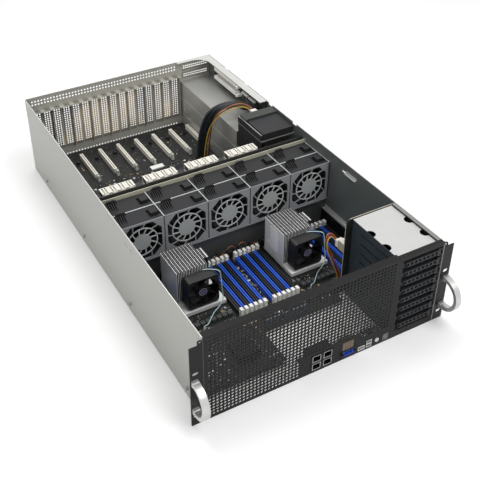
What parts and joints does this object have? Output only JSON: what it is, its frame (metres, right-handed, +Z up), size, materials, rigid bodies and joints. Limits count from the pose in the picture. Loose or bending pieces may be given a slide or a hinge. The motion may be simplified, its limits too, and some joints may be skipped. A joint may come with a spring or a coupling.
{
  "type": "rack server",
  "caption": "Open-topped four-unit rack server with perforated front, drive trays, lift-out fans, coolers, memory and card slots and slide-out power modules.",
  "frame": {"origin": "middle of the underside of the floor sheet, halfway between the front and rear faces", "axes": "+X to the right seen from the front, +Y from the front face to the rear face, +Z up"},
  "size_m": [0.4826, 0.8624, 0.1727],
  "materials": {
    "body_steel": "satin",
    "zinc_steel": "satin",
    "cover_steel": "satin",
    "black_steel": "matt",
    "ear_steel": "matt",
    "handle_metal": "satin",
    "cage_steel": "satin",
    "backplane_board": "semi-gloss",
    "main_board": "semi-gloss",
    "port_parts": "satin",
    "slot_plastic": "satin",
    "cooler_metal": "satin",
    "fan_cage_steel": "satin",
    "expansion_board": "semi-gloss",
    "socket_plastic": "matt",
    "power_cage_steel": "satin",
    "drive_metal": "satin",
    "lead_sheath": "matt",
    "button_plastic": "satin",
    "rotor_plastic": "satin",
    "tray_metal": "satin",
    "lever_metal": "satin",
    "module_plastic": "satin",
    "power_module_metal": "satin"
  },
  "bodies": {
    "chassis": {"chassis_tray": "body_steel", "rear_panel": "zinc_steel", "slot_covers": "cover_steel", "front_grille": "black_steel", "rack_ears": "ear_steel", "ear_handles": "handle_metal", "drive_cage": "cage_steel", "drive_backplane": "backplane_board", "motherboard": "main_board", "port_board": "port_parts", "dimm_slots": "slot_plastic", "cpu_coolers": "cooler_metal", "fan_cage": "fan_cage_steel", "pcie_boards": "expansion_board", "power_board": "socket_plastic", "psu_cage": "power_cage_steel", "aux_drive": "drive_metal", "cable_harness": "lead_sheath"},
    "drive_tray_1_body": {"drive_tray_1": "tray_metal"},
    "drive_tray_2_body": {"drive_tray_2": "tray_metal"},
    "drive_tray_3_body": {"drive_tray_3": "tray_metal"},
    "drive_tray_4_body": {"drive_tray_4": "tray_metal"},
    "drive_tray_5_body": {"drive_tray_5": "tray_metal"},
    "drive_tray_6_body": {"drive_tray_6": "tray_metal"},
    "drive_tray_7_body": {"drive_tray_7": "tray_metal"},
    "drive_tray_8_body": {"drive_tray_8": "tray_metal"},
    "tray_lever_1_body": {"tray_lever_1": "lever_metal"},
    "tray_lever_2_body": {"tray_lever_2": "lever_metal"},
    "tray_lever_3_body": {"tray_lever_3": "lever_metal"},
    "tray_lever_4_body": {"tray_lever_4": "lever_metal"},
    "tray_lever_5_body": {"tray_lever_5": "lever_metal"},
    "tray_lever_6_body": {"tray_lever_6": "lever_metal"},
    "tray_lever_7_body": {"tray_lever_7": "lever_metal"},
    "tray_lever_8_body": {"tray_lever_8": "lever_metal"},
    "fan_module_1_body": {"fan_module_1": "module_plastic"},
    "fan_module_2_body": {"fan_module_2": "module_plastic"},
    "fan_module_3_body": {"fan_module_3": "module_plastic"},
    "fan_module_4_body": {"fan_module_4": "module_plastic"},
    "fan_module_5_body": {"fan_module_5": "module_plastic"},
    "fan_module_6_body": {"fan_module_6": "module_plastic"},
    "fan_module_7_body": {"fan_module_7": "module_plastic"},
    "fan_module_8_body": {"fan_module_8": "module_plastic"},
    "fan_module_9_body": {"fan_module_9": "module_plastic"},
    "fan_module_10_body": {"fan_module_10": "module_plastic"},
    "fan_rotor_1_body": {"fan_rotor_1": "rotor_plastic"},
    "fan_rotor_2_body": {"fan_rotor_2": "rotor_plastic"},
    "fan_rotor_3_body": {"fan_rotor_3": "rotor_plastic"},
    "fan_rotor_4_body": {"fan_rotor_4": "rotor_plastic"},
    "fan_rotor_5_body": {"fan_rotor_5": "rotor_plastic"},
    "fan_rotor_6_body": {"fan_rotor_6": "rotor_plastic"},
    "fan_rotor_7_body": {"fan_rotor_7": "rotor_plastic"},
    "fan_rotor_8_body": {"fan_rotor_8": "rotor_plastic"},
    "fan_rotor_9_body": {"fan_rotor_9": "rotor_plastic"},
    "fan_rotor_10_body": {"fan_rotor_10": "rotor_plastic"},
    "psu_1_body": {"psu_1": "power_module_metal"},
    "psu_2_body": {"psu_2": "power_module_metal"},
    "psu_3_body": {"psu_3": "power_module_metal"},
    "cooler_rotor_left_body": {"cooler_rotor_left": "rotor_plastic"},
    "cooler_rotor_right_body": {"cooler_rotor_right": "rotor_plastic"},
    "power_button_body": {"power_button": "button_plastic"}
  },
  "joints": [
    {"name": "tray_slide_1", "type": "slide", "parent": "chassis", "child": "drive_tray_1_body", "axis": [0, -1, 0], "range_m": [0, 0.11]},
    {"name": "tray_slide_2", "type": "slide", "parent": "chassis", "child": "drive_tray_2_body", "axis": [0, -1, 0], "range_m": [0, 0.11]},
    {"name": "tray_slide_3", "type": "slide", "parent": "chassis", "child": "drive_tray_3_body", "axis": [0, -1, 0], "range_m": [0, 0.11]},
    {"name": "tray_slide_4", "type": "slide", "parent": "chassis", "child": "drive_tray_4_body", "axis": [0, -1, 0], "range_m": [0, 0.11]},
    {"name": "tray_slide_5", "type": "slide", "parent": "chassis", "child": "drive_tray_5_body", "axis": [0, -1, 0], "range_m": [0, 0.11]},
    {"name": "tray_slide_6", "type": "slide", "parent": "chassis", "child": "drive_tray_6_body", "axis": [0, -1, 0], "range_m": [0, 0.11]},
    {"name": "tray_slide_7", "type": "slide", "parent": "chassis", "child": "drive_tray_7_body", "axis": [0, -1, 0], "range_m": [0, 0.11]},
    {"name": "tray_slide_8", "type": "slide", "parent": "chassis", "child": "drive_tray_8_body", "axis": [0, -1, 0], "range_m": [0, 0.11]},
    {"name": "lever_hinge_1", "type": "hinge", "parent": "drive_tray_1_body", "child": "tray_lever_1_body", "pos_m": [0.2121, -0.3985, 0.02297], "axis": [0, 0, 1], "range_deg": [0, 60]},
    {"name": "lever_hinge_2", "type": "hinge", "parent": "drive_tray_2_body", "child": "tray_lever_2_body", "pos_m": [0.2121, -0.3985, 0.04172], "axis": [0, 0, 1], "range_deg": [0, 60]},
    {"name": "lever_hinge_3", "type": "hinge", "parent": "drive_tray_3_body", "child": "tray_lever_3_body", "pos_m": [0.2121, -0.3985, 0.06048], "axis": [0, 0, 1], "range_deg": [0, 60]},
    {"name": "lever_hinge_4", "type": "hinge", "parent": "drive_tray_4_body", "child": "tray_lever_4_body", "pos_m": [0.2121, -0.3985, 0.07923], "axis": [0, 0, 1], "range_deg": [0, 60]},
    {"name": "lever_hinge_5", "type": "hinge", "parent": "drive_tray_5_body", "child": "tray_lever_5_body", "pos_m": [0.2121, -0.3985, 0.09798], "axis": [0, 0, 1], "range_deg": [0, 60]},
    {"name": "lever_hinge_6", "type": "hinge", "parent": "drive_tray_6_body", "child": "tray_lever_6_body", "pos_m": [0.2121, -0.3985, 0.11672], "axis": [0, 0, 1], "range_deg": [0, 60]},
    {"name": "lever_hinge_7", "type": "hinge", "parent": "drive_tray_7_body", "child": "tray_lever_7_body", "pos_m": [0.2121, -0.3985, 0.13548], "axis": [0, 0, 1], "range_deg": [0, 60]},
    {"name": "lever_hinge_8", "type": "hinge", "parent": "drive_tray_8_body", "child": "tray_lever_8_body", "pos_m": [0.2121, -0.3985, 0.15423], "axis": [0, 0, 1], "range_deg": [0, 60]},
    {"name": "module_lift_1", "type": "slide", "parent": "chassis", "child": "fan_module_1_body", "axis": [0, 0, 1], "range_m": [0, 0.11]},
    {"name": "module_lift_2", "type": "slide", "parent": "chassis", "child": "fan_module_2_body", "axis": [0, 0, 1], "range_m": [0, 0.11]},
    {"name": "module_lift_3", "type": "slide", "parent": "chassis", "child": "fan_module_3_body", "axis": [0, 0, 1], "range_m": [0, 0.11]},
    {"name": "module_lift_4", "type": "slide", "parent": "chassis", "child": "fan_module_4_body", "axis": [0, 0, 1], "range_m": [0, 0.11]},
    {"name": "module_lift_5", "type": "slide", "parent": "chassis", "child": "fan_module_5_body", "axis": [0, 0, 1], "range_m": [0, 0.11]},
    {"name": "module_lift_6", "type": "slide", "parent": "chassis", "child": "fan_module_6_body", "axis": [0, 0, 1], "range_m": [0, 0.11]},
    {"name": "module_lift_7", "type": "slide", "parent": "chassis", "child": "fan_module_7_body", "axis": [0, 0, 1], "range_m": [0, 0.11]},
    {"name": "module_lift_8", "type": "slide", "parent": "chassis", "child": "fan_module_8_body", "axis": [0, 0, 1], "range_m": [0, 0.11]},
    {"name": "module_lift_9", "type": "slide", "parent": "chassis", "child": "fan_module_9_body", "axis": [0, 0, 1], "range_m": [0, 0.11]},
    {"name": "module_lift_10", "type": "slide", "parent": "chassis", "child": "fan_module_10_body", "axis": [0, 0, 1], "range_m": [0, 0.11]},
    {"name": "rotor_spin_1", "type": "hinge", "parent": "fan_module_1_body", "child": "fan_rotor_1_body", "pos_m": [-0.1732, -0.0682, 0.1083], "axis": [0, 1, 0], "continuous": true},
    {"name": "rotor_spin_2", "type": "hinge", "parent": "fan_module_2_body", "child": "fan_rotor_2_body", "pos_m": [-0.0866, -0.0682, 0.1083], "axis": [0, 1, 0], "continuous": true},
    {"name": "rotor_spin_3", "type": "hinge", "parent": "fan_module_3_body", "child": "fan_rotor_3_body", "pos_m": [0, -0.0682, 0.1083], "axis": [0, 1, 0], "continuous": true},
    {"name": "rotor_spin_4", "type": "hinge", "parent": "fan_module_4_body", "child": "fan_rotor_4_body", "pos_m": [0.0866, -0.0682, 0.1083], "axis": [0, 1, 0], "continuous": true},
    {"name": "rotor_spin_5", "type": "hinge", "parent": "fan_module_5_body", "child": "fan_rotor_5_body", "pos_m": [0.1732, -0.0682, 0.1083], "axis": [0, 1, 0], "continuous": true},
    {"name": "rotor_spin_6", "type": "hinge", "parent": "fan_module_6_body", "child": "fan_rotor_6_body", "pos_m": [-0.1732, -0.027, 0.1083], "axis": [0, 1, 0], "continuous": true},
    {"name": "rotor_spin_7", "type": "hinge", "parent": "fan_module_7_body", "child": "fan_rotor_7_body", "pos_m": [-0.0866, -0.027, 0.1083], "axis": [0, 1, 0], "continuous": true},
    {"name": "rotor_spin_8", "type": "hinge", "parent": "fan_module_8_body", "child": "fan_rotor_8_body", "pos_m": [0, -0.027, 0.1083], "axis": [0, 1, 0], "continuous": true},
    {"name": "rotor_spin_9", "type": "hinge", "parent": "fan_module_9_body", "child": "fan_rotor_9_body", "pos_m": [0.0866, -0.027, 0.1083], "axis": [0, 1, 0], "continuous": true},
    {"name": "rotor_spin_10", "type": "hinge", "parent": "fan_module_10_body", "child": "fan_rotor_10_body", "pos_m": [0.1732, -0.027, 0.1083], "axis": [0, 1, 0], "continuous": true},
    {"name": "cooler_spin_left", "type": "hinge", "parent": "chassis", "child": "cooler_rotor_left_body", "pos_m": [-0.1125, -0.186, 0.051], "axis": [0, 1, 0], "continuous": true},
    {"name": "cooler_spin_right", "type": "hinge", "parent": "chassis", "child": "cooler_rotor_right_body", "pos_m": [0.1015, -0.186, 0.051], "axis": [0, 1, 0], "continuous": true},
    {"name": "psu_slide_1", "type": "slide", "parent": "chassis", "child": "psu_1_body", "axis": [0, 1, 0], "range_m": [0, 0.245]},
    {"name": "psu_slide_2", "type": "slide", "parent": "chassis", "child": "psu_2_body", "axis": [0, 1, 0], "range_m": [0, 0.245]},
    {"name": "psu_slide_3", "type": "slide", "parent": "chassis", "child": "psu_3_body", "axis": [0, 1, 0], "range_m": [0, 0.245]},
    {"name": "button_press", "type": "slide", "parent": "chassis", "child": "power_button_body", "axis": [0, 1, 0], "range_m": [0, 0.0015], "stiffness_N_per_m": 300, "springref_m": -0.0005}
  ]
}
